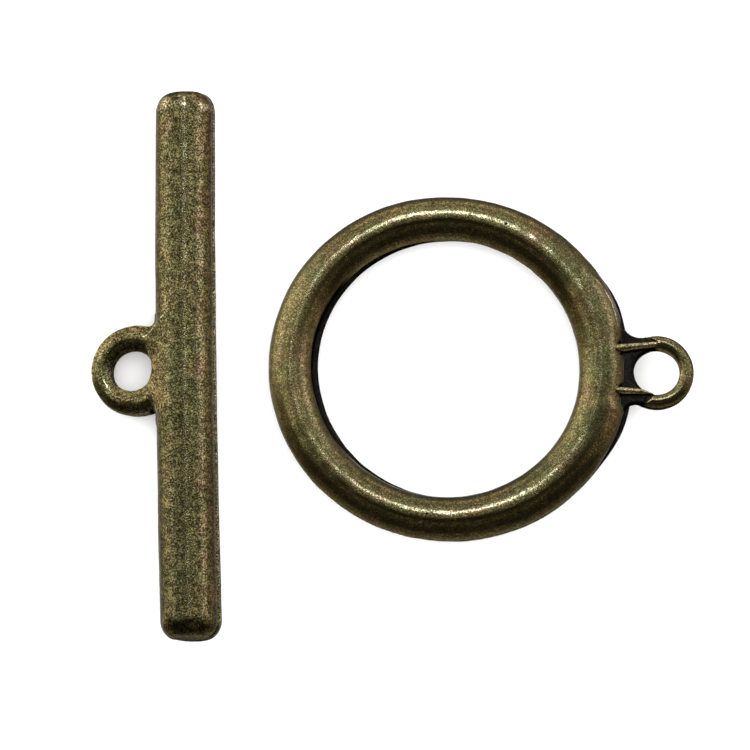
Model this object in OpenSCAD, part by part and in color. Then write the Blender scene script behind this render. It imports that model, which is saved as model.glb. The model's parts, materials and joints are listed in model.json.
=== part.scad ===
// Toggle clasp: a round bar and a round ring, each cast in one piece with its eye.
// The bar lies along Y and the ring beside it, both on the plane z = 0.
// The origin is on that plane, under the middle of the whole clasp.

/* [Bar] */
// Length of the bar over its ends
bar_len = 31.6; // [26:0.1:40]
// Thickness of the round bar
bar_thick = 3.3; // [2.7:0.1:4.2]
// Radius between the side of the bar and each end
bar_end_round = 0.85; // [0.5:0.05:1.1]
// Radius of the slight dome of each end
bar_end_dome = 9; // [5:0.5:20]
// Sideways step between the upper and lower cast halves of the bar
bar_step = 0.1; // [0.02:0.01:0.2]

/* [Bar eye] */
// From the bar's side to the middle of its eye
bar_eye_stand = 1.25; // [0.95:0.01:1.8]
// How far the eye sits from the middle of the bar, towards -Y
bar_eye_along = 0.2; // [0:0.02:1]
// Width over the eye
bar_eye_width = 5.18; // [4.6:0.02:6.2]
// Thickness of the eye
bar_eye_thick = 1.4; // [1.1:0.05:1.7]
// Diameter of the hole in the eye
bar_eye_hole = 2.4; // [2:0.05:2.9]
// How much further from the bar the hole sits than the eye's middle
bar_hole_shift = 0.2; // [0.1:0.01:0.5]
// Radius that rounds both mouths of the hole
bar_hole_round = 0.3; // [0.1:0.05:0.4]
// Thickness of the roots that join the eye to the bar
bar_root_thick = 0.9; // [0.5:0.05:1.1]
// Radius of the root on the side of +Y
bar_root_round_far = 0.5; // [0.2:0.05:0.9]
// Radius of the root on the side of -Y
bar_root_round_near = 0.2; // [0.15:0.05:0.9]

/* [Ring] */
// Width over the ring
ring_width = 20; // [16:0.5:26]
// Thickness of the ring's round section
ring_tube = 2.5; // [2:0.05:3]
// Sideways step between the upper and lower cast halves of the ring
ring_step = 0.31; // [0.05:0.01:0.4]
// Direction of that step, from the line towards the ring's eye
ring_step_turn = -2; // [-30:1:30]

/* [Ring eye] */
// From the ring's outer side to the middle of its eye
ring_eye_stand = 1.95; // [1.7:0.01:2.4]
// Width over the eye
ring_eye_width = 4.14; // [3.9:0.02:4.8]
// Thickness of the eye
ring_eye_thick = 0.95; // [0.8:0.05:1.2]
// Diameter of the hole in the eye
ring_eye_hole = 2.55; // [2:0.05:2.8]
// Radius that rounds both mouths of the hole
ring_hole_round = 0.12; // [0.05:0.01:0.2]

/* [Web and ribs] */
// Thickness of the web between the ring and its eye
web_thick = 0.65; // [0.4:0.05:0.9]
// Radius of the web's hollow side towards +Y
web_round_far = 1.05; // [0.6:0.05:1.6]
// Radius of the web's hollow side towards -Y
web_round_near = 0.85; // [0.6:0.05:1.6]
// How deep both ribs are rooted in the ring's side
rib_root = 0.75; // [0.5:0.05:0.9]
// Where the far rib leaves the ring, as a share of the way to the middle of the eye's rim
far_rib_start = 0.85; // [0.5:0.01:1]
// Where the near rib leaves the ring, as such a share
near_rib_start = 0.7; // [0.5:0.01:1]
// Where the near rib meets the eye, as such a share
near_rib_end = 0.77; // [0.5:0.01:1]
// Width of the far rib's crest
far_rib_width = 0.32; // [0.15:0.01:0.5]
// Width of the near rib's crest
near_rib_width = 0.22; // [0.15:0.01:0.5]
// Height of both crests above the web where they leave the ring
rib_rise = 0.5; // [0.3:0.05:0.7]
// Height of both crests above the web where they meet the eye
rib_rise_eye = 0.14; // [0.05:0.01:0.2]

/* [Where the halves lie] */
// Clear gap between the bar and the ring
halves_gap = 2.93; // [1:0.01:10]
// How far the ring's middle lies along +Y from the bar's middle
ring_y = -0.34; // [-5:0.01:5]
// Turn of the ring's eye from +X
ring_turn = -1.9; // [-20:0.1:20]

/* [Hidden] */
$fn = 96;

// Bar
bar_r = bar_thick / 2;
// Where the rounding of an end begins, and where it runs into the dome
end_start = bar_len / 2 - bar_end_dome
    + sqrt(pow(bar_end_dome - bar_end_round, 2) - pow(bar_r - bar_end_round, 2));
dome_r = (bar_r - bar_end_round) * bar_end_dome / (bar_end_dome - bar_end_round);
bar_eye_out = bar_r + bar_eye_stand;
bar_hole_out = bar_eye_out + bar_hole_shift;
bar_eye_r = bar_eye_width / 2;
bar_hole_r = bar_eye_hole / 2;
// Middle of the eye's round rim, from the axis of the bar
bar_rim_out = bar_eye_out + bar_eye_r - bar_eye_thick / 2;
// The bar rolls until the rim of its eye touches the plane that it lies on
bar_roll = asin((bar_r - bar_eye_thick / 2) / bar_rim_out);
bar_z = bar_r - bar_step * sin(bar_roll);

// Ring
tube_r = ring_tube / 2;
ring_r = ring_width / 2;
tube_mid_r = ring_r - tube_r;
ring_step_at = ring_step * [cos(ring_step_turn), sin(ring_step_turn)];
ring_eye_out = ring_r + ring_eye_stand;
ring_eye_at = [ring_eye_out, 0];
ring_eye_r = ring_eye_width / 2;
ring_hole_r = ring_eye_hole / 2;
// Radius of the middle circle of the eye's round rim, whose crest the ribs run into
ring_rim_r = ring_eye_r - ring_eye_thick / 2;
web_top = web_thick / 2;

// Places that put the origin under the middle of the whole
bar_reach = bar_rim_out * cos(bar_roll) + bar_eye_thick / 2;
bar_side = bar_r + bar_step * cos(bar_roll);
ring_reach = ring_eye_out * cos(ring_turn) + ring_eye_r;
whole_width = bar_reach + bar_side + halves_gap + ring_r + ring_reach;
bar_x = bar_reach - whole_width / 2;
ring_x = whole_width / 2 - ring_reach;

// Middle of a circle of radius r that touches circles a and b from outside, left of a to b
function touching(a, a_r, b, b_r, r, side) =
    let (
        gap = norm(b - a),
        along = (pow(a_r + r, 2) - pow(b_r + r, 2) + gap * gap) / (2 * gap),
        across = sqrt(pow(a_r + r, 2) - along * along),
        way = (b - a) / gap
    )
    a + along * way + side * across * [-way[1], way[0]];

// Middle of a circle of radius r that touches the bar's side and the eye's edge
function beside_bar(r, side) =
    [-bar_r - r, side * sqrt(pow(bar_eye_r + r, 2) - pow(bar_eye_out - bar_r - r, 2))];

// The upper half of a casting, and its lower half set sideways by step
module two_halves(step) {
    children();
    translate([step[0], step[1], 0]) mirror([0, 0, 1]) children();
}

// Half of the bar's section through its axis
module bar_section() {
    translate([0, -end_start]) square([bar_r, 2 * end_start]);
    for (end = [0, 1]) mirror([0, end]) {
        intersection() {
            translate([0, bar_len / 2 - bar_end_dome]) circle(bar_end_dome);
            square([dome_r, bar_len / 2]);
        }
        intersection() {
            translate([bar_r - bar_end_round, end_start]) circle(bar_end_round);
            translate([bar_r - bar_end_round, end_start]) square(bar_end_round);
        }
    }
}

module upper_bar() {
    rotate([90, 0, 0]) rotate_extrude(angle = 180) bar_section();
}

// Upper half of an eye before its hole is cut: a disc with a round rim
module upper_eye(r, thick) {
    rotate_extrude() {
        square([r - thick / 2, thick / 2]);
        intersection() {
            translate([r - thick / 2, 0]) circle(thick / 2);
            translate([r - thick / 2, 0]) square(thick / 2);
        }
    }
}

// What is cut for an eye's hole: a straight wall with rounded mouths. The straight cut is as
// tall as the bar and the ring together, so it clears the roots, the web and the ribs.
module eye_cut(r, thick, round) {
    land = thick - 2 * round;
    tall = bar_thick + ring_tube;
    rotate_extrude() {
        translate([0, -tall / 2]) square([r, tall]);
        difference() {
            translate([0, -thick / 2]) square([r + round, thick]);
            translate([r, -land / 2]) square([round, land]);
            for (side = [-1, 1])
                translate([r + round, side * land / 2]) circle(round);
        }
    }
}

module bar_roots() {
    far = beside_bar(bar_root_round_far, 1);
    near = beside_bar(bar_root_round_near, -1);
    linear_extrude(bar_root_thick, center = true) difference() {
        polygon([[0, near[1]], [0, far[1]], far, [-bar_eye_out, 0], near]);
        translate(far) circle(bar_root_round_far);
        translate(near) circle(bar_root_round_near);
    }
}

module toggle_bar() {
    color([0.42, 0.37, 0.23])
    translate([bar_x, 0, bar_z]) rotate([0, -bar_roll, 0]) difference() {
        union() {
            two_halves([bar_step, 0]) {
                upper_bar();
                translate([-bar_eye_out, -bar_eye_along, 0]) upper_eye(bar_eye_r, bar_eye_thick);
            }
            translate([0, -bar_eye_along, 0]) bar_roots();
        }
        translate([-bar_hole_out, -bar_eye_along, 0])
            eye_cut(bar_hole_r, bar_eye_thick, bar_hole_round);
    }
}

module upper_ring() {
    rotate_extrude() intersection() {
        translate([tube_mid_r, 0]) circle(tube_r);
        translate([tube_mid_r - tube_r, 0]) square([ring_tube, tube_r]);
    }
}

module web() {
    far = touching(ring_step_at, ring_r, ring_eye_at, ring_eye_r, web_round_far, 1);
    near = touching(ring_step_at, ring_r, ring_eye_at, ring_eye_r, web_round_near, -1);
    far_start = tube_mid_r * far / norm(far);
    near_start = tube_mid_r * near / norm(near);
    linear_extrude(web_thick, center = true) difference() {
        polygon([near_start, near, ring_eye_at, far, far_start]);
        translate(far) circle(web_round_far);
        translate(near) circle(web_round_near);
    }
}

// A narrow ridge with a round crest that falls from the ring's side to the eye's rim.
// start_y and end_y are its distances from the line through the middles of ring and eye,
// as shares of the radius of the rim's middle circle.
module rib(start_y, end_y, width) {
    start = [ring_r - rib_root, start_y * ring_rim_r, web_top + rib_rise];
    end = [ring_eye_out, end_y * ring_rim_r, web_top + rib_rise_eye];
    run = end - start;
    level = norm([run[0], run[1]]);
    translate(start)
    rotate([0, atan2(-run[2], level), atan2(run[1], run[0])])
    rotate([90, 0, 90])
    linear_extrude(norm(run)) {
        translate([0, -width / 2]) circle(width / 2);
        translate([-width / 2, -rib_rise - web_top]) square([width, rib_rise + web_top - width / 2]);
    }
}

module toggle_ring() {
    color([0.42, 0.37, 0.23])
    translate([ring_x, ring_y, tube_r]) rotate([0, 0, ring_turn]) difference() {
        union() {
            two_halves(ring_step_at) upper_ring();
            translate(ring_eye_at) two_halves([0, 0])
                upper_eye(ring_eye_r, ring_eye_thick);
            web();
            rib(far_rib_start, 1, far_rib_width);
            rib(-near_rib_start, -near_rib_end, near_rib_width);
        }
        translate(ring_eye_at) eye_cut(ring_hole_r, ring_eye_thick, ring_hole_round);
    }
}

toggle_bar();
toggle_ring();
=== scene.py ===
import bpy
import json
import numpy as np
from math import asin, cos, pi, radians, sin
from mathutils import Matrix, Vector


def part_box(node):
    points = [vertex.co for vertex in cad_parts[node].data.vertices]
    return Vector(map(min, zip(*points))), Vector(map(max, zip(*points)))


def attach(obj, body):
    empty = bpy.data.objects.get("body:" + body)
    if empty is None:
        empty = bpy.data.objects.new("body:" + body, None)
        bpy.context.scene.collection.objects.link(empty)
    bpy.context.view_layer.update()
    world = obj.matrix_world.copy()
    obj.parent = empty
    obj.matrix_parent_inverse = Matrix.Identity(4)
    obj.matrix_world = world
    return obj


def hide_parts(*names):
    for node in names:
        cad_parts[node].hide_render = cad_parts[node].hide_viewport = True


# Toggle clasp in antique brass: a cast bar and a cast ring, each with its eye.
# Shapes are worked out in millimetres, each in its own casting's frame, then placed in metres.
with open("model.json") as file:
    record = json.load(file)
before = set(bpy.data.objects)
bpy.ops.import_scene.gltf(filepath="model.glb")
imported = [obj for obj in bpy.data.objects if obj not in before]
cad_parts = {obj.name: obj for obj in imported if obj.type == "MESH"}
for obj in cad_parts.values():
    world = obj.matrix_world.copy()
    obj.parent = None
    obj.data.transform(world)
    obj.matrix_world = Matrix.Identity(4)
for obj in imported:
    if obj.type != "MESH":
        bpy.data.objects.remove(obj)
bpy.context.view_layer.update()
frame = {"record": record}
mounts = {mount["name"]: mount for mount in frame["record"]["mounts"]}
mm = 0.001
print("frame loaded")

meshing = {
    "growth": 0.05,         # how fast grid steps grow away from the fine spans
    "nudge": 0.004,         # step that measures the slope of a form
    "rounds": 4,            # rounds of evening out the mesh and settling it on the form
    "evening": 0.6,         # share of its way to the middle of its faces that a point goes
    "pulls": 2,             # steps back on to the form in each round
    "margin": 0.3,          # empty grid around a form
    "seed": 20,             # for the slight waves of the cast skin
    "skinWaves": (14, 6.0, 0.9),            # how many, the longest and the shortest
    "recessReaches": (0.15, 0.35, 0.8),     # how far around a point metal counts
    "ridgeReach": 0.07,     # step that measures curvature
}


def softJoin(a, b, blend):
    share = np.clip(0.5 + 0.5 * (b - a) / blend, 0, 1)
    return b + (a - b) * share - blend * share * (1 - share)


def softCut(form, tool, blend):
    return -softJoin(-form, tool, blend)


def softWithin(a, b, blend):
    return -softJoin(-a, -b, blend)


def fade(value, start, stop):
    share = np.clip((value - start) / (stop - start), 0, 1)
    return share * share * (3 - 2 * share)


def waves(count, longest, shortest, height):
    # slight unevenness of a cast and tumbled skin, as a sum of waves in all directions
    draw = np.random.default_rng(meshing["seed"])
    ways = draw.normal(size=(count, 3))
    ways /= np.linalg.norm(ways, axis=1)[:, None]
    lengths = np.geomspace(longest, shortest, count)
    turns = draw.uniform(0, 2 * pi, count)

    def heightAt(x, y, z):
        total = 0
        for way, length, turn in zip(ways, lengths, turns):
            along = (x * way[0] + y * way[1] + z * way[2]) * 2 * pi / length
            total = total + np.sin(along + turn)
        return total * height / count ** 0.5

    return heightAt


def gridLine(low, high, step, fineStep, fineSpans):
    points = [low]
    while points[-1] < high:
        at = points[-1]
        away = min(max(start - at, at - stop, 0) for start, stop in fineSpans)
        points.append(at + min(step, fineStep + meshing["growth"] * away))
    return np.array(points)


def netOf(form, lines):
    # a point in each grid cell that the surface crosses, and a face around each crossed grid edge
    values = form(*np.meshgrid(*lines, indexing="ij"))
    inside = values < 0
    cells = np.array(values.shape) - 1
    places = []
    owners = []
    faces = []
    for axis in range(3):
        first = [slice(None)] * 3
        first[axis] = slice(None, -1)
        second = [slice(None)] * 3
        second[axis] = slice(1, None)
        near = np.argwhere(inside[tuple(first)] != inside[tuple(second)])
        far = near.copy()
        far[:, axis] += 1
        valueNear = values[tuple(near.T)]
        valueFar = values[tuple(far.T)]
        share = valueNear / (valueNear - valueFar)
        place = np.stack([lines[k][near[:, k]] for k in range(3)], 1)
        stepLength = lines[axis][far[:, axis]] - lines[axis][near[:, axis]]
        place[:, axis] += share * stepLength
        around = []
        for backU, backV in ((0, 0), (1, 0), (1, 1), (0, 1)):
            cell = near.copy()
            cell[:, (axis + 1) % 3] -= backU
            cell[:, (axis + 2) % 3] -= backV
            around.append(np.ravel_multi_index(cell.T, cells))
        around = np.stack(around, 1)
        places.append(np.repeat(place, 4, 0))
        owners.append(around.ravel())
        faces.append(np.where((valueNear < 0)[:, None], around, around[:, ::-1]))
    owners = np.concatenate(owners)
    used, ownerRow = np.unique(owners, return_inverse=True)
    count = np.bincount(ownerRow)
    places = np.concatenate(places)
    points = np.stack([np.bincount(ownerRow, places[:, k]) / count for k in range(3)], 1)
    rows = np.searchsorted(used, np.concatenate(faces))
    return points, rows


def slopeOf(form, points):
    nudge = meshing["nudge"]
    here = form(*points.T)
    slope = np.empty_like(points)
    for axis in range(3):
        moved = points.copy()
        moved[:, axis] += nudge
        slope[:, axis] = (form(*moved.T) - here) / nudge
    return here, slope


def settle(form, points, faces):
    # evens the points out along the surface, then moves them back on to it
    corner = faces.ravel()
    count = np.bincount(corner, minlength=len(points))
    here, slope = slopeOf(form, points)
    for turn in range(meshing["rounds"]):
        centres = np.repeat(points[faces].mean(1), 4, 0)
        target = np.stack([np.bincount(corner, centres[:, k], len(points)) for k in range(3)], 1)
        move = target / count[:, None] - points
        normal = slope / np.linalg.norm(slope, axis=1)[:, None]
        move -= (move * normal).sum(1)[:, None] * normal
        points = points + meshing["evening"] * move
        for pull in range(meshing["pulls"]):
            here, slope = slopeOf(form, points)
            points = points - slope * (here / (slope ** 2).sum(1))[:, None]
    normal = slope / np.linalg.norm(slope, axis=1)[:, None]
    return points, normal


def recessOf(form, points, normal):
    # how much metal stands around a point, from 0 in the open to 1 in a deep corner
    total = 0
    for reach in meshing["recessReaches"]:
        out = points + normal * reach
        total = total + np.clip(1 - form(*out.T) / reach, 0, 1)
    return total / len(meshing["recessReaches"])


def ridgeOf(form, points, normal):
    # curvature, per mm: high on crests and worn corners, below zero in hollows
    reach = meshing["ridgeReach"]
    helper = np.where(np.abs(normal[:, :1]) > 0.6, [[0.0, 1.0, 0.0]], [[1.0, 0.0, 0.0]])
    side = np.cross(normal, helper)
    side /= np.linalg.norm(side, axis=1)[:, None]
    other = np.cross(normal, side)
    total = 0
    for way in (side, -side, other, -other):
        total = total + form(*(points + way * reach).T)
    return total / reach ** 2


def castPiece(name, points, faces, place, marks):
    # place is the matrix from the casting's own millimetres to the frame's metres
    turned = points @ np.array(place.to_3x3()).T + np.array(place.translation)
    turned[:, 2] = np.maximum(turned[:, 2], 0)      # nothing dips under the table
    mesh = bpy.data.meshes.new(name)
    mesh.vertices.add(len(points))
    mesh.vertices.foreach_set("co", turned.ravel())
    mesh.loops.add(faces.size)
    mesh.loops.foreach_set("vertex_index", faces.ravel().astype(np.int32))
    mesh.polygons.add(len(faces))
    mesh.polygons.foreach_set("loop_start", np.arange(0, faces.size, 4, dtype=np.int32))
    mesh.polygons.foreach_set("use_smooth", np.ones(len(faces), dtype=bool))
    mesh.update(calc_edges=True)
    for markName, values in marks.items():
        mark = mesh.attributes.new(markName, "FLOAT", "POINT")
        mark.data.foreach_set("value", np.asarray(values, dtype=np.float32))
    piece = bpy.data.objects.new(name, mesh)
    bpy.context.scene.collection.objects.link(piece)
    print(name, len(points), "points,", 2 * len(faces), "triangles")
    return piece


def eyeLoop(x, y, z, radius, holeX, holeY, holeRadius, halfThick):
    # a loop with an oval section, between its outline about 0, 0 and its hole
    inner = np.hypot(x - holeX, y - holeY) - holeRadius
    outer = radius - np.hypot(x, y)
    half = (inner + outer) / 2
    across = (inner - outer) / 2 / half
    return (np.hypot(across, z / halfThick) - 1) * np.minimum(half, halfThick)


# The bar lies along y in its own frame, with its eye towards -x and the parting plane at z = 0.
barHole = Vector(mounts["bar_eye"]["pos_m"]) / mm
barAxis = Vector(mounts["bar_eye"]["axis"])
barLow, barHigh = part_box("toggle_bar")

bar = {
    "radius": 1.65,
    "half": (barHigh[1] - barLow[1]) / mm / 2,
    "endRound": 0.74,
    "endRoundAlong": 0.95,
    "endDome": 9.0,
    "bow": 0.137,           # the ends stand this far to +x of the middle
    "bowMiddle": -0.065,
    "step": 0.13,           # the lower half's sideways step at the middle
    "stepNear": 0.05,       # and how much more it is at the near end
    "lap": 0.03,            # how far each half reaches past the parting plane
    "crisp": 0.05,          # blend at the step and other crisp edges
    "eyeOut": 2.86,
    "eyeAlong": -0.2,
    "eyeRadius": 2.57,
    "eyeThick": 1.4,
    "holeOut": 3.07,
    "holeRadius": mounts["bar_eye"]["dims"]["r_mm"],
    "mouth": 0.2,           # blend that rounds the hole's mouths beside the bar
    "rootThick": 0.9,
    "rootEdge": 0.1,
    "rootReach": 0.8,       # how far the roots go beyond the eye's outline
    "rootFar": 0.62,
    "rootNear": 0.3,
    "joint": 0.12,          # blend where eye and bar meet
    "merge": 0.5,           # how much wider it is where the gussets run into the bar
    "mergeOut": (-2.15, -1.75),
    "nearCrisp": 0.15,      # blend of the near gusset's edges
    "wave": 0.007,
    "gridFine": 0.062,
    "gridAlong": 0.1,
    # Wear, patina, painted shade, painted highlights and darkening. A pair says where an effect begins and
    # where it is full.
    "sideWear": 0.65,       # how much the step's hollow on the side of +x is rubbed clean
    "sideWearOut": (1.1, 1.45),
    "skirtUp": (0.15, -0.1),        # the lower half is dark on that side, but not round the ends
    "skirtOut": (-1, 1),
    "skirtAlong": (15.4, 14.8),
    "wallDeep": (0.3, 0.0),         # and so is the hole's wall on its far and outer side
    "wallTurn": (0.6, -0.6),
    "wallOut": (-2.0, -2.4),
    "shadeAndDarkening": 0.46,                # painted shade: a darker reflection along the crest
    "crestShadeOut": -0.14,
    "crestShadeWidth": 0.55,
    "shadeUp": (0.6, 1.2),
    "nearDarkening": 0.22,            # and how much darker the near half is besides
    "nearDarkeningAlong": (2, -10),
    "wearAndGlints": ((-1.0, 15.0, 0.4), (0.22, 15.1, 0.25), (1.42, 14.7, 0.25)),    # painted highlights on the far end's rounding, as spots of rubbed bare metal
    "glintRidge": 9,
    "glintUp": (0, 0.5),
}

# Planes of the cast gusset between bar and eye: outward direction and a point on each.
gusset = {
    "farEdge": ((-0.495, 0.869, 0), (-2.315, 1.633, 0)),
    "mouthEdge": ((-0.956, -0.292, 0), (-2.315, 1.633, 0)),
    "nearEnd": ((0, -1, 0), (0, 0.2, 0)),
    "barEnd": ((1, 0, 0), (-1, 0, 0)),
    "top": ((-0.2, -0.16, 0.967), (-2.315, 1.633, 0.74)),
    "underside": ((0, 0, -1), (0, 0, -0.45)),
}

# And those of the lower, rounder one on the near side.
nearGusset = {
    "mouthEdge": ((-0.98, 0.2, 0), (-2.2, -1.2, 0)),
    "nearEdge": ((-0.72, -0.69, 0), (-2.3, -1.5, 0)),
    "farEnd": ((0, 1, 0), (0, 0.3, 0)),
    "barEnd": ((1, 0, 0), (-1, 0, 0)),
    "top": ((-0.3, 0, 0.954), (-2.2, 0, 0.62)),
    "underside": ((0, 0, -1), (0, 0, -0.45)),
}


def within(planes, x, y, z, blend):
    form = None
    for (nx, ny, nz), (px, py, pz) in planes.values():
        side = (x - px) * nx + (y - py) * ny + (z - pz) * nz
        form = side if form is None else softWithin(form, side, blend)
    return form


def roundBar(x, y, z):
    rho = np.hypot(x, z)
    reach = np.maximum(np.abs(y) - (bar["half"] - bar["endDome"]), 0)
    side = rho - (bar["radius"] - bar["endRound"])
    end = np.hypot(rho, reach) - (bar["endDome"] - bar["endRoundAlong"])
    end = end * bar["endRound"] / bar["endRoundAlong"]
    corner = np.hypot(np.maximum(side, 0), np.maximum(end, 0))
    return np.minimum(np.maximum(side, end), 0) + corner - bar["endRound"]


def barHalf(x, y, z, shift):
    # one cast half before the cut at the parting plane
    body = roundBar(x - shift, y, z)
    eyeX = x + bar["eyeOut"]
    eyeY = y - bar["eyeAlong"]
    holeX = bar["eyeOut"] - bar["holeOut"]
    eye = eyeLoop(eyeX, eyeY, z, bar["eyeRadius"], holeX, 0, bar["holeRadius"], bar["eyeThick"] / 2)
    outline = np.hypot(eyeX, eyeY) - bar["eyeRadius"]
    side = np.abs(x - shift) - bar["radius"]
    blend = np.where(eyeY > 0, bar["rootFar"], bar["rootNear"])
    root = softJoin(outline, side, blend)
    root = softWithin(root, np.abs(z) - bar["rootThick"] / 2, bar["rootEdge"])
    root = softWithin(root, outline - bar["rootReach"], bar["crisp"])
    eye = softJoin(eye, root, bar["joint"])
    return softJoin(body, eye, bar["joint"])


barWaves = waves(*meshing["skinWaves"], bar["wave"])


def barForm(x, y, z):
    share = y / bar["half"]
    shift = bar["bowMiddle"] + bar["bow"] * share ** 2
    step = bar["step"] - bar["stepNear"] * share
    upper = barHalf(x, y, z, shift)
    ramp = within(gusset, x, y, z, bar["crisp"])
    nearRamp = within(nearGusset, x, y, z, bar["nearCrisp"])
    ramps = softJoin(ramp, nearRamp, bar["joint"])
    upper = softJoin(upper, ramps, bar["joint"] + bar["merge"] * fade(x, *bar["mergeOut"]))
    upper = softWithin(upper, -z - bar["lap"], bar["crisp"])
    lower = barHalf(x - step, y, z, shift)
    lower = softWithin(lower, z - bar["lap"], bar["crisp"])
    form = softJoin(upper, lower, bar["crisp"])
    hole = np.hypot(x + bar["holeOut"], y - bar["eyeAlong"]) - bar["holeRadius"]
    form = softCut(form, hole, bar["mouth"])
    return form + barWaves(x, y, z)


def barMarks(points, normal):
    x, y, z = points.T
    recess = recessOf(barForm, points, normal)
    ridge = ridgeOf(barForm, points, normal)
    recess *= 1 - bar["sideWear"] * fade(x, *bar["sideWearOut"])
    # painted highlights: spots of bare metal on the far end's rounding
    for glintX, glintY, size in bar["wearAndGlints"]:
        away = (x - glintX) ** 2 + (y - glintY) ** 2
        ridge += bar["glintRidge"] * np.exp(-away / size ** 2) * fade(z, *bar["glintUp"])
    skirt = fade(z, *bar["skirtUp"]) * fade(x, *bar["skirtOut"]) * fade(np.abs(y), *bar["skirtAlong"])
    side = np.hypot(x + bar["holeOut"], y - bar["eyeAlong"]) - bar["holeRadius"]
    wall = fade(side, *bar["wallDeep"]) * fade(bar["eyeAlong"] - y + x + bar["holeOut"], *bar["wallTurn"])
    wall = wall * fade(x, *bar["wallOut"])
    # painted shade: a darker reflection along the crest; and darker towards the near end
    crest = np.exp(-((x - bar["crestShadeOut"]) / bar["crestShadeWidth"]) ** 2) * fade(z, *bar["shadeUp"])
    shadeAndDarkening = bar["shadeAndDarkening"] * crest + bar["nearDarkening"] * fade(y, *bar["nearDarkeningAlong"])
    return {"recess": recess, "ridge": ridge, "skirt": np.maximum(skirt, wall), "shadeAndDarkening": shadeAndDarkening}


def makeBar():
    margin = meshing["margin"]
    left = -bar["eyeOut"] - bar["eyeRadius"] - margin
    right = bar["radius"] + bar["step"] + bar["bow"] + margin
    end = bar["half"] + margin
    top = bar["radius"] + margin
    eyeSpan = (bar["eyeAlong"] - bar["eyeRadius"], bar["eyeAlong"] + bar["eyeRadius"])
    ends = [(-end, bar["endRound"] - bar["half"]), (bar["half"] - bar["endRound"], end)]
    fine = bar["gridFine"]
    lines = (
        gridLine(left, right, fine, fine, [(left, right)]),
        gridLine(-end, end, bar["gridAlong"], fine, [eyeSpan] + ends),
        gridLine(-top, top, fine, fine, [(-top, top)]),
    )
    points, faces = netOf(barForm, lines)
    points, normal = settle(barForm, points, faces)
    roll = asin(-barAxis.x)
    turn = Matrix.Rotation(-roll, 4, "Y")
    middle = barHole + turn @ Vector((bar["holeOut"], -bar["eyeAlong"], 0))
    place = Matrix.Scale(mm, 4) @ Matrix.Translation(middle) @ turn
    return castPiece("toggleBarCasting", points, faces, place, barMarks(points, normal))


# The ring lies flat in its own frame, its eye towards +x and the parting plane at z = 0.
ringHole = Vector(mounts["ring_eye"]["pos_m"]) / mm

ring = {
    "turn": radians(-1.9),
    "middle": 8.75,         # radius of the tube's middle line
    "tube": 1.25,
    "step": 0.31,           # the lower half's sideways step, and its direction
    "stepTurn": radians(-2),
    "oval": 0.06,
    "ovalTurn": radians(75),
    "lap": 0.03,            # how far each half reaches past the parting plane
    "crisp": 0.05,          # blend at the steps and other crisp edges
    "eyeOut": 11.95,
    "eyeRadius": 2.09,
    "eyeThick": 0.95,
    "eyeStep": 0.1,
    "eyeStartY": (-2.0, -1.35, 1.65, 2.05),
    "eyeStartX": (11.2, 11.75, 11.9, 11.27),    # where the loop's upper half rises out of the web
    "eyeRise": 1.3,         # and how steeply
    "holeShift": (-0.04, -0.03),
    "holeRadius": mounts["ring_eye"]["dims"]["r_mm"],
    "mouth": 0.12,
    "webThick": 0.65,
    "webReach": 3.6,        # how far from the eye's middle the web ends, inside the tube
    "webFar": 1.05,         # radii of the web's hollow sides
    "webNear": 0.85,
    "webEdge": 0.08,
    "joint": 0.08,
    "ribJoint": 0.06,
    "ribFlare": 0.12,       # how much a rib widens on its way down
    "swell": 0.33,          # how much further the upper half reaches on the eye's side
    "swellNear": (radians(-10), radians(-14)),      # and where it sets in beside the web
    "swellFar": (radians(9), radians(19)),
    "lowerSwells": ((0.27, -15, 14.5), (0.17, 22, 8)),      # height, middle and width in degrees
    "crease": 0.065,        # height of the worn crease on the far side of the web
    "creaseWidth": 0.08,
    "creaseAngles": (12, 22.5, 34.5),
    "creaseOut": (9.98, 10.1, 9.86),
    "creaseStart": (12, 16),
    "creaseEnd": (36, 24),
    "creaseUp": (0.0, 0.1),
    "wave": 0.009,
    "gridFlat": 0.1,
    "gridHigh": 0.075,
    "gridEye": 0.062,
    "gridPast": 1.2,        # how far into the tube the fine grid of the eye goes
    # Wear, patina and painted shade. A pair says where an effect begins and where it is full.
    "ragged": (10, 1.2, 0.25, 0.07),    # waves in the edge of the dark web
    "webClear": (0.0, 0.06),
    "webUp": (0.12, 0.02),
    "webBeyond": (0.3, -0.1),
    "webOut": (9.6, 9.9),
    "inside": (0.0, -0.8),              # the inner side, from the tube's middle line
    "ledgeNear": (-32, -13),            # the ledge is dark there and beside the web, in degrees
    "ledgeFar": (34, 22),
    "ledgeSkin": (0.04, 0.0),
    "ledgeClear": (0.0, 0.05),
    "ledgeUp": (-0.6, -0.3),
    "overLedge": (0.62, 0.4),           # so is the strip above it, on the left
    "overLedgeOut": (-4.9, -6.4),
    "nearDarkening": 0.35,                # painted shade on the near part's inner side
    "nearShadeY": (-5, -8),
    "nearShadeIn": (0.1, -0.6),
    "rightShade": 0.3,                # and painted shade along the crest beside the web
    "rightShadeX": (5, 7.5),
    "rightShadeOut": 0.25,
    "rightShadeWidth": 0.5,
    "shadeUp": (0.0, 0.4),
}
ringStepX = ring["step"] * cos(ring["stepTurn"])
ringStepY = ring["step"] * sin(ring["stepTurn"])

# Ribs on the web: start and end in plan, then the crest's height and width at both.
ribs = (
    {"start": (9.25, 1.147), "end": (12.1, 1.593), "rise": (1.03, 0.465), "width": (0.44, 0.28)},
    {"start": (9.35, -1.222), "end": (11.8, -1.217), "rise": (0.98, 0.465), "width": (0.36, 0.28)},
)


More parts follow.
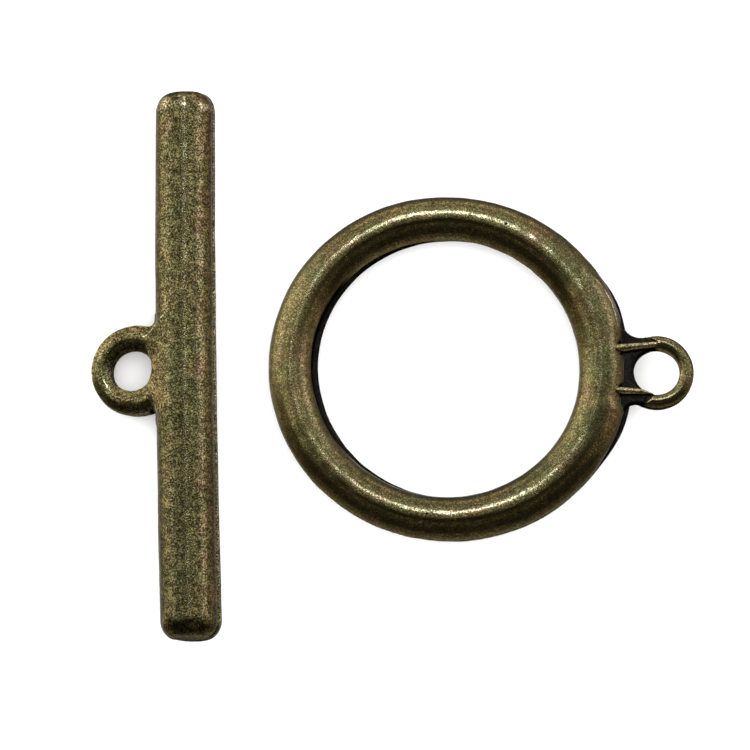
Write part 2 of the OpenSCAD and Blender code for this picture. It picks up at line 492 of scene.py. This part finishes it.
def ribForm(rib, x, y, z):
    startX, startY = rib["start"]
    endX, endY = rib["end"]
    run = np.hypot(endX - startX, endY - startY)
    wayX = (endX - startX) / run
    wayY = (endY - startY) / run
    along = (x - startX) * wayX + (y - startY) * wayY
    across = (y - startY) * wayX - (x - startX) * wayY
    share = np.clip(along / run, 0, 1)
    crest = rib["rise"][0] + (rib["rise"][1] - rib["rise"][0]) * share
    thin = (rib["width"][0] + (rib["width"][1] - rib["width"][0]) * share) / 2
    wall = np.hypot(across, np.maximum(z - crest + thin, 0)) - thin
    wall = wall - ring["ribFlare"] * np.clip(crest - thin - z, 0, 1)
    wall = np.maximum(wall, np.maximum(-along, along - run))
    return np.maximum(wall, -z)


def bump(angle, middle, width):
    return np.exp(-((angle - radians(middle)) / radians(width)) ** 2)


def tubeForm(x, y, z, swell):
    # the ring's tube, with its outer side drawn out by the swell
    angle = np.arctan2(y, x)
    middle = ring["middle"] - ring["oval"] * np.cos(2 * (angle + ring["turn"] - ring["ovalTurn"]))
    out = np.hypot(x, y) - middle
    out = np.where(out > 0, out * ring["tube"] / (ring["tube"] + swell), out)
    return np.hypot(out, z) - ring["tube"]


def upperRing(x, y, z):
    angle = np.arctan2(y, x)
    beside = fade(angle, *ring["swellNear"]) + fade(angle, *ring["swellFar"])
    swell = ring["swell"] * np.maximum(np.cos(angle), 0) ** 1.5 * beside
    degrees = np.degrees(angle)
    line = np.interp(degrees, ring["creaseAngles"], ring["creaseOut"])
    share = fade(degrees, *ring["creaseStart"]) * fade(degrees, *ring["creaseEnd"])
    share = share * fade(z, *ring["creaseUp"])
    crease = np.exp(-((np.hypot(x, y) - line) / ring["creaseWidth"]) ** 2)
    return tubeForm(x, y, z, swell) - ring["crease"] * crease * share


def lowerRing(x, y, z):
    angle = np.arctan2(y, x)
    swell = sum(height * bump(angle, middle, width) for height, middle, width in ring["lowerSwells"])
    return tubeForm(x - ringStepX, y - ringStepY, z, swell)


def touching(a, aRadius, b, bRadius, radius, side):
    # middle of a circle that touches two others from outside, on the given side of a to b
    a, b = Vector(a), Vector(b)
    gap = (b - a).length
    along = ((aRadius + radius) ** 2 - (bRadius + radius) ** 2 + gap ** 2) / 2 / gap
    across = ((aRadius + radius) ** 2 - along ** 2) ** 0.5
    way = (b - a) / gap
    return a + along * way + side * across * Vector((-way.y, way.x))


webCorners = [
    (touching((ringStepX, ringStepY), ring["middle"] + ring["tube"], (ring["eyeOut"], 0),
              ring["eyeRadius"], radius, side), radius)
    for radius, side in ((ring["webFar"], 1), (ring["webNear"], -1))
]


def webForm(x, y, z):
    # the flat web, hollowed on both sides by circles that touch ring and eye
    eyeX = x - ring["eyeOut"]
    form = np.hypot(eyeX, y) - ring["webReach"]
    for corner, radius in webCorners:
        side = 1 if corner.y > 0 else -1
        way = Vector((ring["eyeOut"], 0)) - corner
        toEye = ((x - corner.x) * way.y - (y - corner.y) * way.x) * -side / way.length
        fromRing = (y * corner.x - x * corner.y) * side / corner.length
        form = np.maximum(form, np.maximum(toEye, fromRing))
        form = np.maximum(form, radius - np.hypot(x - corner.x, y - corner.y))
    form = np.maximum(form, ring["middle"] - np.hypot(x, y))
    return softWithin(form, np.abs(z) - ring["webThick"] / 2, ring["webEdge"])


def beyondWeb(x, y):
    return x - np.interp(y, ring["eyeStartY"], ring["eyeStartX"])


ringWaves = waves(*meshing["skinWaves"], ring["wave"])
webRagged = waves(*ring["ragged"])


def ringParts(x, y, z):
    eyeX = x - ring["eyeOut"]
    upper = softWithin(upperRing(x, y, z), -z - ring["lap"], ring["crisp"])
    lower = softWithin(lowerRing(x, y, z), z - ring["lap"], ring["crisp"])
    size = (ring["eyeRadius"], *ring["holeShift"], ring["holeRadius"], ring["eyeThick"] / 2)
    eyeTop = eyeLoop(eyeX, y, z, *size)
    rise = z - ring["webThick"] / 2 - ring["eyeRise"] * np.maximum(beyondWeb(x, y), 0)
    eyeTop = softWithin(eyeTop, rise, ring["crisp"])
    eyeLow = eyeLoop(eyeX, y + ring["eyeStep"], z, *size)
    eyeTop = softWithin(eyeTop, -z - ring["lap"], ring["crisp"])
    eyeLow = softWithin(eyeLow, z - ring["lap"], ring["crisp"])
    return upper, lower, softJoin(eyeTop, eyeLow, ring["crisp"])


def ringForm(x, y, z):
    upper, lower, eye = ringParts(x, y, z)
    form = softJoin(upper, lower, ring["crisp"])
    form = softJoin(form, softJoin(eye, webForm(x, y, z), ring["joint"]), ring["joint"])
    for rib in ribs:
        form = softJoin(form, ribForm(rib, x, y, z), ring["ribJoint"])
    holeX, holeY = ring["holeShift"]
    hole = np.hypot(x - ring["eyeOut"] - holeX, y - holeY) - ring["holeRadius"]
    form = softCut(form, hole, ring["mouth"])
    return form + ringWaves(x, y, z)


def ringMarks(points, normal):
    x, y, z = points.T
    upper, lower, eye = ringParts(x, y, z)
    aboveWeb = np.abs(z) - ring["webThick"] / 2
    beyond = beyondWeb(x, y) + webRagged(x, y, z)
    onWeb = fade(upper, *ring["webClear"]) * fade(aboveWeb, *ring["webUp"])
    onWeb = onWeb * fade(beyond, *ring["webBeyond"]) * fade(x, *ring["webOut"])
    angle = np.degrees(np.arctan2(y, x))
    byWeb = fade(angle, *ring["ledgeNear"]) * fade(angle, *ring["ledgeFar"])
    out = np.hypot(x, y) - ring["middle"]
    inside = fade(out, *ring["inside"])
    onLedge = fade(lower, *ring["ledgeSkin"]) * fade(upper, *ring["ledgeClear"]) * fade(z, *ring["ledgeUp"])
    onLedge = onLedge * np.maximum(byWeb, inside)
    overLedge = inside * fade(z, *ring["overLedge"]) * fade(z, *ring["ledgeUp"])
    overLedge = overLedge * fade(x, *ring["overLedgeOut"])
    # painted shade on the near part's inner side and along the crest beside the web
    near = fade(y, *ring["nearShadeY"]) * fade(out, *ring["nearShadeIn"])
    crest = np.exp(-((out - ring["rightShadeOut"]) / ring["rightShadeWidth"]) ** 2)
    right = fade(x, *ring["rightShadeX"]) * crest
    shadeAndDarkening = ring["nearDarkening"] * near + ring["rightShade"] * right
    return {
        "recess": recessOf(ringForm, points, normal),
        "ridge": ridgeOf(ringForm, points, normal),
        "skirt": np.maximum(np.maximum(onWeb, onLedge), overLedge),
        "shadeAndDarkening": shadeAndDarkening * fade(z, *ring["shadeUp"]),
    }


def makeRing():
    margin = meshing["margin"]
    out = ring["middle"] + ring["tube"] + margin
    right = ring["eyeOut"] + ring["eyeRadius"] + margin
    top = ring["tube"] + margin
    eyeSide = ring["eyeRadius"] + margin
    flat, high, fine = ring["gridFlat"], ring["gridHigh"], ring["gridEye"]
    lines = (
        gridLine(-out, right, flat, fine, [(out - ring["gridPast"], right)]),
        gridLine(-out, out, flat, fine, [(-eyeSide, eyeSide)]),
        gridLine(-top, top, high, high, [(-top, top)]),
    )
    points, faces = netOf(ringForm, lines)
    points, normal = settle(ringForm, points, faces)
    turn = Matrix.Rotation(ring["turn"], 4, "Z")
    middle = ringHole - turn @ Vector((ring["eyeOut"], 0, 0))
    place = Matrix.Scale(mm, 4) @ Matrix.Translation(middle) @ turn
    return castPiece("toggleRingCasting", points, faces, place, ringMarks(points, normal))


toggleBar = makeBar()
toggleRing = makeRing()


def put(tree, kind, feeds=None, **settings):
    node = tree.nodes.new(kind)
    for name, value in settings.items():
        setattr(node, name, value)
    for socket, value in (feeds or {}).items():
        if isinstance(value, bpy.types.NodeSocket):
            tree.links.new(value, node.inputs[socket])
        else:
            node.inputs[socket].default_value = value
    return node


def sumOf(tree, operation, a, b=0.0):
    return put(tree, "ShaderNodeMath", {0: a, 1: b}, operation=operation).outputs[0]


def spread(tree, value, low, high, start=0.0, stop=1.0):
    feeds = {"Value": value, "From Min": low, "From Max": high, "To Min": start, "To Max": stop}
    node = put(tree, "ShaderNodeMapRange", feeds, interpolation_type="SMOOTHSTEP")
    return node.outputs["Result"]


def tinted(tree, share, first, second, blend="MIX"):
    # mixes two colours; each is a socket or a plain linear colour
    feeds = {0: share, 6: first, 7: second}
    for socket in (6, 7):
        if not isinstance(feeds[socket], bpy.types.NodeSocket):
            feeds[socket] = (*feeds[socket], 1)
    return put(tree, "ShaderNodeMix", feeds, data_type="RGBA", blend_type=blend).outputs[2]


def newGroup(name, takes, gives):
    group = bpy.data.node_groups.new(name, "ShaderNodeTree")
    for label, kind, value in takes:
        socket = group.interface.new_socket(label, in_out="INPUT", socket_type=kind)
        if value is not None:
            socket.default_value = value
    for label, kind in gives:
        group.interface.new_socket(label, in_out="OUTPUT", socket_type=kind)
    inside = group.nodes.new("NodeGroupInput")
    outside = group.nodes.new("NodeGroupOutput")
    return group, inside.outputs, outside.inputs


grainLook = {
    "cloudSpan": (0.33, 0.67),      # noise level at which clouds begin and are full
    "grainSpan": (0.34, 0.66),
    "unevenPerMm": 2.6,             # a slower noise shifts the level of the grain, by this much
    "uneven": 0.35,
    "pitSpan": (0.13, 0.07),
    "pitDepth": 1.2,
}


def buildGrain():
    # fine light and dark grain of the tumbled skin, wide clouds, a few pits, and their relief
    takes = [
        ("Place", "NodeSocketVector", None),
        ("Grains Per Mm", "NodeSocketFloat", 10.0),
        ("Clouds Per Mm", "NodeSocketFloat", 0.7),
        ("Pits Per Mm", "NodeSocketFloat", 2.2),
    ]
    gives = [(name, "NodeSocketFloat") for name in ("Grain", "Speckle", "Clouds", "Pits", "Relief")]
    group, given, asked = newGroup("castGrain", takes, gives)
    place = given["Place"]
    clouds = put(group, "ShaderNodeTexNoise", {
        "Vector": place, "Scale": given["Clouds Per Mm"], "Detail": 3.0, "Roughness": 0.55,
    })
    uneven = put(group, "ShaderNodeTexNoise", {
        "Vector": place, "Scale": grainLook["unevenPerMm"], "Detail": 1.0,
    })
    fine = put(group, "ShaderNodeTexNoise", {
        "Vector": place, "Scale": given["Grains Per Mm"], "Detail": 1.0, "Roughness": 0.5,
    })
    shift = sumOf(group, "SUBTRACT", uneven.outputs["Fac"], 0.5)
    shift = sumOf(group, "MULTIPLY", shift, grainLook["uneven"])
    level = sumOf(group, "ADD", fine.outputs["Fac"], shift)
    coarse = put(group, "ShaderNodeTexVoronoi", {
        "Vector": place, "Scale": given["Pits Per Mm"], "Randomness": 1.0,
    })
    pits = spread(group, coarse.outputs["Distance"], *grainLook["pitSpan"])
    depth = sumOf(group, "MULTIPLY", pits, grainLook["pitDepth"])
    results = {
        "Grain": spread(group, level, *grainLook["grainSpan"]),
        "Speckle": sumOf(group, "SUBTRACT", level, 0.5),
        "Clouds": spread(group, clouds.outputs["Fac"], *grainLook["cloudSpan"]),
        "Pits": pits,
        "Relief": sumOf(group, "SUBTRACT", fine.outputs["Fac"], depth),
    }
    for name, value in results.items():
        group.links.new(value, asked[name])
    return group


wearLook = {
    "broken": 0.25,                 # how much the grain breaks up the edge of the patina
    "bareBroken": 8.0,              # and how much more that of bare metal
    "bareSpan": (2.5, 7.0),         # curvature, per mm, at which bare metal begins and is full
}


def buildWear():
    # patina that stays in hollows, and bare metal on crests, broken up by the grain
    takes = [
        ("Recess", "NodeSocketFloat", 0.0),
        ("Ridge", "NodeSocketFloat", 0.0),
        ("Skirt", "NodeSocketFloat", 0.0),
        ("Grain", "NodeSocketFloat", 0.5),
        ("Recess Start", "NodeSocketFloat", 0.12),
        ("Recess Full", "NodeSocketFloat", 0.4),
        ("Skirt Share", "NodeSocketFloat", 1.0),
    ]
    gives = [("Patina", "NodeSocketFloat"), ("Bare", "NodeSocketFloat")]
    group, given, asked = newGroup("antiqueWear", takes, gives)
    rough = sumOf(group, "MULTIPLY", sumOf(group, "SUBTRACT", given["Grain"], 0.5), wearLook["broken"])
    level = sumOf(group, "ADD", given["Recess"], rough)
    deep = spread(group, level, given["Recess Start"], given["Recess Full"])
    skirt = sumOf(group, "MULTIPLY", given["Skirt"], given["Skirt Share"])
    patina = sumOf(group, "MAXIMUM", deep, skirt)
    bareRough = sumOf(group, "MULTIPLY", rough, wearLook["bareBroken"])
    bare = spread(group, sumOf(group, "ADD", given["Ridge"], bareRough), *wearLook["bareSpan"])
    bare = sumOf(group, "MULTIPLY", bare, sumOf(group, "SUBTRACT", 1.0, patina))
    group.links.new(patina, asked["Patina"])
    group.links.new(bare, asked["Bare"])
    return group


grain = buildGrain()
wear = buildWear()

finish = {
    "ground": (0.255, 0.2, 0.083),
    "pinkGround": (0.25, 0.178, 0.082),
    "greenGround": (0.2, 0.183, 0.074),
    "patina": (0.008, 0.0072, 0.0055),
    "patinaGrain": (0.022, 0.019, 0.013),
    # bare metal, also used for the painted highlights on the bar's far end
    "bare": (0.66, 0.54, 0.3),
    # colour of the painted shade, and of the bar's darkening towards its near end
    "shadeAndDarkening": (0.03, 0.034, 0.018),
    "huesPerMm": 1.1,               # pinkish and greenish areas
    "hueSpan": (0.4, 0.62),
    "brightest": 3.2,               # limit to how much a grain lightens
    "relief": 0.005,                # height of the grain, mm
    "dentEdge": (0.09, 0.04),       # from a dent's middle, mm
    "dentDepth": 6.0,               # in heights of the grain
    "gloss": (1, 1, 1),             # at the edge of sight, on metal and on patina
    "patinaGloss": (0.12, 0.12, 0.12),
    "patinaRoughness": 0.2,         # how much rougher patina is
}

# The colour is multiplied by level, and by contrast to the power of the grain.
barSkin = {
    "grainsPerMm": 11.0,
    "contrast": 900.0,
    "level": 0.84,
    "roughness": (0.3, 0.2),
    "recess": (0.3, 0.6),
    "skirtShare": 0.65,
    "dents": (),
}
ringSkin = {
    "grainsPerMm": 11.5,
    "contrast": 36.0,
    "level": 0.97,
    "roughness": (0.27, 0.18),
    "recess": (0.15, 0.45),
    "skirtShare": 1.0,
    "dents": ((3.26, 8.19), (-0.94, -8.65)),
}


def dentMask(tree, place, dent):
    turn = Matrix.Rotation(ring["turn"], 4, "Z")
    middle = turn @ Vector((dent[0] - ring["eyeOut"], dent[1], ring["tube"])) + ringHole
    away = put(tree, "ShaderNodeVectorMath", {0: place, 1: middle}, operation="DISTANCE")
    return spread(tree, away.outputs["Value"], *finish["dentEdge"])


def antiqueBrass(name, skin):
    material = bpy.data.materials.new(name)
    material.use_nodes = True
    tree = material.node_tree
    shader = tree.nodes["Principled BSDF"]
    coordinates = put(tree, "ShaderNodeTexCoord").outputs["Object"]
    scaled = put(tree, "ShaderNodeVectorMath", {0: coordinates, "Scale": 1 / mm}, operation="SCALE")
    place = scaled.outputs[0]
    feeds = {"Place": place, "Grains Per Mm": skin["grainsPerMm"]}
    cast = put(tree, "ShaderNodeGroup", feeds, node_tree=grain).outputs
    marks = {
        mark: put(tree, "ShaderNodeAttribute", attribute_name=mark).outputs["Fac"]
        for mark in ("recess", "ridge", "skirt", "shadeAndDarkening")
    }
    wearAndGlints = put(tree, "ShaderNodeGroup", {
        "Recess": marks["recess"],
        "Ridge": marks["ridge"],
        "Skirt": marks["skirt"],
        "Grain": cast["Grain"],
        "Recess Start": skin["recess"][0],
        "Recess Full": skin["recess"][1],
        "Skirt Share": skin["skirtShare"],
    }, node_tree=wear).outputs

    hue = put(tree, "ShaderNodeTexNoise", {"Vector": place, "Scale": finish["huesPerMm"], "Detail": 2.0})
    pinkShare = spread(tree, hue.outputs["Fac"], *finish["hueSpan"])
    colour = tinted(tree, pinkShare, finish["ground"], finish["pinkGround"])
    colour = tinted(tree, cast["Clouds"], colour, finish["greenGround"])
    colour = tinted(tree, wearAndGlints["Bare"], colour, finish["bare"])
    # painted shade, and the bar's darkening towards its near end
    colour = tinted(tree, marks["shadeAndDarkening"], colour, finish["shadeAndDarkening"])
    strength = sumOf(tree, "POWER", skin["contrast"], cast["Speckle"])
    strength = sumOf(tree, "MULTIPLY", sumOf(tree, "MINIMUM", strength, finish["brightest"]), skin["level"])
    colour = tinted(tree, 1.0, colour, strength, "MULTIPLY")

    pits = cast["Pits"]
    height = cast["Relief"]
    for dent in skin["dents"]:
        mask = dentMask(tree, place, dent)
        pits = sumOf(tree, "MAXIMUM", pits, mask)
        height = sumOf(tree, "SUBTRACT", height, sumOf(tree, "MULTIPLY", mask, finish["dentDepth"]))
    colour = tinted(tree, pits, colour, finish["patina"])
    dark = tinted(tree, cast["Grain"], finish["patina"], finish["patinaGrain"])
    colour = tinted(tree, wearAndGlints["Patina"], colour, dark)
    tree.links.new(colour, shader.inputs["Base Color"])

    shader.inputs["Metallic"].default_value = 1.0
    # the gloss follows the casting's own marks
    covered = sumOf(tree, "MULTIPLY", marks["skirt"], skin["skirtShare"])
    covered = sumOf(tree, "MAXIMUM", spread(tree, marks["recess"], *skin["recess"]), covered)
    gloss = tinted(tree, covered, finish["gloss"], finish["patinaGloss"])
    tree.links.new(gloss, shader.inputs["Specular Tint"])
    rough = spread(tree, cast["Grain"], 0.0, 1.0, *skin["roughness"])
    rougher = sumOf(tree, "MULTIPLY", wearAndGlints["Patina"], finish["patinaRoughness"])
    tree.links.new(sumOf(tree, "ADD", rough, rougher), shader.inputs["Roughness"])
    bump = put(tree, "ShaderNodeBump", {
        "Height": height, "Distance": finish["relief"] * mm, "Strength": 1.0,
    })
    tree.links.new(bump.outputs["Normal"], shader.inputs["Normal"])
    return material


barBrass = antiqueBrass("antiqueBrassBar", barSkin)
ringBrass = antiqueBrass("antiqueBrassRing", ringSkin)
toggleBar.data.materials.append(barBrass)
toggleRing.data.materials.append(ringBrass)
for piece, node, slot in (
    (toggleBar, "toggle_bar", "antique_brass_bar"),
    (toggleRing, "toggle_ring", "antique_brass_ring"),
):
    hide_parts(node)
    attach(piece, "root")
    piece.visible_glossy = False
print("pieces finished")

# Studio: soft patches of light around the clasp, by azimuth from +y towards +x and elevation.
# Each runs from the middle to its half width, with a soft edge; a round one has a reach.
patches = {
    "overhead": {"middle": (0, 60), "reach": 34, "soft": 16, "glow": (0.36, 0.37, 0.29)},
    "spot": {"middle": (0, 64.5), "reach": 6, "soft": 3, "glow": (11.0, 12.0, 18.0)},
    "backHigh": {"middle": (0, 44), "half": (40, 9), "soft": (24, 12), "glow": (0.38, 0.4, 0.5)},
    "backMiddle": {"middle": (0, 26), "half": (32, 9), "soft": (24, 12), "glow": (0.36, 0.33, 0.31)},
    "backLow": {"middle": (0, 5), "half": (32, 12), "soft": (24, 14), "glow": (0.95, 0.88, 0.83)},
    "backDown": {"middle": (0, -22), "half": (40, 15), "soft": (24, 14), "glow": (0.22, 0.22, 0.21)},
    "leftHigh": {"middle": (-70, 50), "half": (32, 15), "soft": (24, 14), "glow": (0.68, 0.7, 0.68)},
    "leftBank": {"middle": (-60, 22), "half": (22, 14), "soft": (24, 14), "glow": (1.36, 1.37, 1.43)},
    "leftLow": {"middle": (-60, -6), "half": (22, 14), "soft": (24, 14), "glow": (1.16, 1.13, 1.03)},
    "leftDown": {"middle": (-66, -34), "half": (30, 14), "soft": (24, 14), "glow": (0.37, 0.34, 0.3)},
    "leftSide": {"middle": (-96, 8), "half": (12, 40), "soft": (20, 20), "glow": (0.22, 0.19, 0.13)},
    "rightHigh": {"middle": (62, 50), "half": (24, 15), "soft": (24, 14), "glow": (0.44, 0.47, 0.5)},
    "rightBank": {"middle": (62, 22), "half": (22, 14), "soft": (24, 14), "glow": (1.18, 1.11, 1.35)},
    "rightLow": {"middle": (62, -6), "half": (22, 14), "soft": (24, 14), "glow": (0.42, 0.38, 0.31)},
    "rightDown": {"middle": (66, -34), "half": (30, 14), "soft": (24, 14), "glow": (0.2, 0.17, 0.17)},
    "rightSide": {"middle": (96, 8), "half": (12, 40), "soft": (20, 20), "glow": (0.34, 0.29, 0.24)},
    "below": {"middle": (0, -66), "half": (110, 18), "soft": (40, 16), "glow": (0.44, 0.42, 0.42)},
    "frontHigh": {"middle": (180, 52), "half": (70, 12), "soft": (40, 14), "glow": (0.1, 0.095, 0.08)},
    "front": {"middle": (180, 18), "half": (66, 22), "soft": (36, 16), "glow": (0.04, 0.04, 0.04)},
    "frontLow": {"middle": (180, -18), "half": (66, 14), "soft": (36, 12), "glow": (0.15, 0.13, 0.11)},
    "frontDown": {"middle": (180, -52), "half": (66, 20), "soft": (36, 16), "glow": (0.3, 0.28, 0.22)},
}
studio = {
    "dim": (0.003, 0.002, 0.001),       # light between the patches
    "plain": (2.2, 2.2, 2.2),           # light on the floor, which sees no patches
    "floorHalf": 1.5,
    "floorColour": (0.93, 0.93, 0.93, 1),
    "floorRoughness": 0.9,
}


def softEdge(tree, away, half, soft):
    return spread(tree, away, half - soft / 2, half + soft / 2, 1.0, 0.0)


def patchLevel(tree, way, azimuth, elevation, patch):
    turn, rise = patch["middle"]
    if "reach" in patch:
        flat = cos(radians(rise))
        middle = (sin(radians(turn)) * flat, cos(radians(turn)) * flat, sin(radians(rise)))
        near = put(tree, "ShaderNodeVectorMath", {0: way, 1: middle}, operation="DOT_PRODUCT")
        away = sumOf(tree, "MULTIPLY", sumOf(tree, "ARCCOSINE", near.outputs["Value"]), 180 / pi)
        return softEdge(tree, away, patch["reach"], patch["soft"])
    away = sumOf(tree, "WRAP", sumOf(tree, "SUBTRACT", azimuth, turn), 180.0)
    away.node.inputs[2].default_value = -180.0
    across = softEdge(tree, sumOf(tree, "ABSOLUTE", away), patch["half"][0], patch["soft"][0])
    away = sumOf(tree, "ABSOLUTE", sumOf(tree, "SUBTRACT", elevation, rise))
    return sumOf(tree, "MULTIPLY", across, softEdge(tree, away, patch["half"][1], patch["soft"][1]))


def buildStudio():
    world = bpy.data.worlds.new("studio")
    world.use_nodes = True
    bpy.context.scene.world = world
    tree = world.node_tree
    tree.nodes.clear()
    way = put(tree, "ShaderNodeTexCoord").outputs["Generated"]
    ways = put(tree, "ShaderNodeSeparateXYZ", {0: way})
    azimuth = sumOf(tree, "ARCTAN2", ways.outputs[0], ways.outputs[1])
    azimuth = sumOf(tree, "MULTIPLY", azimuth, 180 / pi)
    elevation = sumOf(tree, "MULTIPLY", sumOf(tree, "ARCSINE", ways.outputs[2]), 180 / pi)
    light = studio["dim"]
    for patch in patches.values():
        level = patchLevel(tree, way, azimuth, elevation, patch)
        lit = tinted(tree, level, (0, 0, 0), patch["glow"])
        light = tinted(tree, 1.0, light, lit, "ADD")
    path = put(tree, "ShaderNodeLightPath")
    seen = tinted(tree, path.outputs["Is Glossy Ray"], studio["plain"], light)
    ground = put(tree, "ShaderNodeBackground", {"Color": seen, "Strength": 1.0})
    put(tree, "ShaderNodeOutputWorld", {"Surface": ground.outputs[0]})
    world.cycles.sampling_method = "NONE"


def makeFloor():
    half = studio["floorHalf"]
    corners = [(-half, -half, 0), (half, -half, 0), (half, half, 0), (-half, half, 0)]
    mesh = bpy.data.meshes.new("floor")
    mesh.from_pydata(corners, [], [(0, 1, 2, 3)])
    floor = bpy.data.objects.new("floor", mesh)
    bpy.context.scene.collection.objects.link(floor)
    material = bpy.data.materials.new("paleFloor")
    material.use_nodes = True
    shader = material.node_tree.nodes["Principled BSDF"]
    shader.inputs["Base Color"].default_value = studio["floorColour"]
    shader.inputs["Roughness"].default_value = studio["floorRoughness"]
    shader.inputs["Specular IOR Level"].default_value = 0.0
    mesh.materials.append(material)
    floor.visible_glossy = False


view = {
    "azimuth": radians(0.84),
    "elevation": radians(77.86),
    "target": Vector((-0.9965, -0.6704, 1.3)),
    "distance": 425.75,
    "field": 42.47,         # width of the view at the target
}


def makeCamera():
    turn, tilt = view["azimuth"], view["elevation"]
    forward = Vector((sin(turn) * cos(tilt), cos(turn) * cos(tilt), -sin(tilt)))
    right = Vector((cos(turn), -sin(turn), 0))
    up = right.cross(forward)
    lens = bpy.data.cameras.new("camera")
    lens.sensor_fit = "HORIZONTAL"
    lens.lens = lens.sensor_width * view["distance"] / view["field"]
    lens.clip_start = 0.01
    camera = bpy.data.objects.new("camera", lens)
    camera.matrix_world = Matrix((right, up, -forward)).transposed().to_4x4()
    camera.location = (view["target"] - forward * view["distance"]) * mm
    bpy.context.scene.collection.objects.link(camera)
    bpy.context.scene.camera = camera


buildStudio()
makeFloor()
makeCamera()
bpy.context.scene.view_settings.view_transform = "Standard"
print("studio ready")
